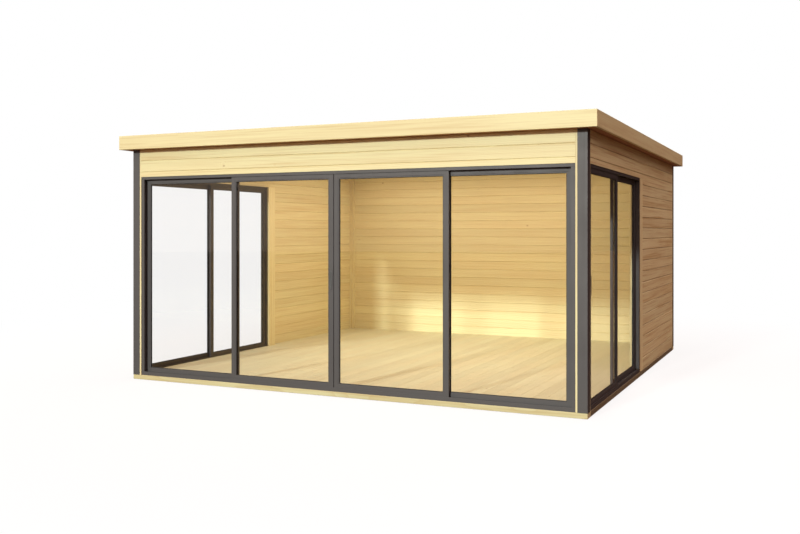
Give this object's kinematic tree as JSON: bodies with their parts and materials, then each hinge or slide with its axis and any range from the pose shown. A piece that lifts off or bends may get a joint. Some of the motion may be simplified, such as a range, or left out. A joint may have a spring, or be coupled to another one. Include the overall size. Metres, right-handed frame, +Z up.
{
  "type": "garden office pod",
  "caption": "Square flat-roofed timber garden office with log walls behind, glazed sliding doors across the front and along the front half of both sides.",
  "frame": {"origin": "middle of the square footprint, on the underside of the base bearers", "axes": "+X right seen from the front, +Y from the glazed front to the rear wall, +Z up"},
  "size_m": [4.88, 4.88, 2.48],
  "materials": {
    "log_timber": "planed untreated spruce logs",
    "post_timber": "planed spruce posts",
    "base_timber": "sawn spruce bearers",
    "floor_timber": "planed floor boards",
    "roof_timber": "planed roof boards and rafters",
    "fascia_timber": "planed spruce fascia",
    "roof_membrane": "matt rubber roofing sheet",
    "anthracite": "matt powder-coated aluminium, anthracite grey",
    "glass": "clear toughened glass",
    "pull_metal": "satin grey metal"
  },
  "bodies": {
    "root": {"back_wall": "log_timber", "left_wall": "log_timber", "right_wall": "log_timber", "front_lintel": "log_timber", "left_lintel": "log_timber", "right_lintel": "log_timber", "front_posts": "post_timber", "back_posts": "post_timber", "door_posts": "post_timber", "cross_bearers": "base_timber", "side_bearers": "base_timber", "floor_joists": "base_timber", "floor_boards": "floor_timber", "rafters": "roof_timber", "roof_deck": "roof_timber", "end_soffits": "roof_timber", "side_soffits": "roof_timber", "end_fascias": "fascia_timber", "side_fascias": "fascia_timber", "roof_membrane": "roof_membrane", "front_post_covers": "anthracite", "back_post_covers": "anthracite", "front_door_sill": "anthracite", "front_door_head": "anthracite", "front_door_jambs": "anthracite", "side_door_sills": "anthracite", "side_door_heads": "anthracite", "side_door_jambs": "anthracite", "front_fixed_frames": "anthracite", "side_fixed_frames": "anthracite", "front_fixed_glass": "glass", "side_fixed_glass": "glass"},
    "front_left_door": {"front_left_door_frame": "anthracite", "front_left_door_glass": "glass", "front_left_door_pulls": "pull_metal"},
    "front_right_door": {"front_right_door_frame": "anthracite", "front_right_door_glass": "glass", "front_meeting_strip": "anthracite", "front_right_door_pull": "pull_metal"},
    "left_door": {"left_door_frame": "anthracite", "left_door_glass": "glass", "left_door_pulls": "pull_metal"},
    "right_door": {"right_door_frame": "anthracite", "right_door_glass": "glass", "right_door_pulls": "pull_metal"}
  },
  "joints": [
    {"name": "front_left_door_slide", "type": "slide", "parent": "root", "child": "front_left_door", "axis": [-1, 0, 0], "range_m": [0, 1.066]},
    {"name": "front_right_door_slide", "type": "slide", "parent": "root", "child": "front_right_door", "axis": [1, 0, 0], "range_m": [0, 1.066]},
    {"name": "left_door_slide", "type": "slide", "parent": "root", "child": "left_door", "axis": [0, 1, 0], "range_m": [0, 1.055]},
    {"name": "right_door_slide", "type": "slide", "parent": "root", "child": "right_door", "axis": [0, 1, 0], "range_m": [0, 1.055]}
  ]
}
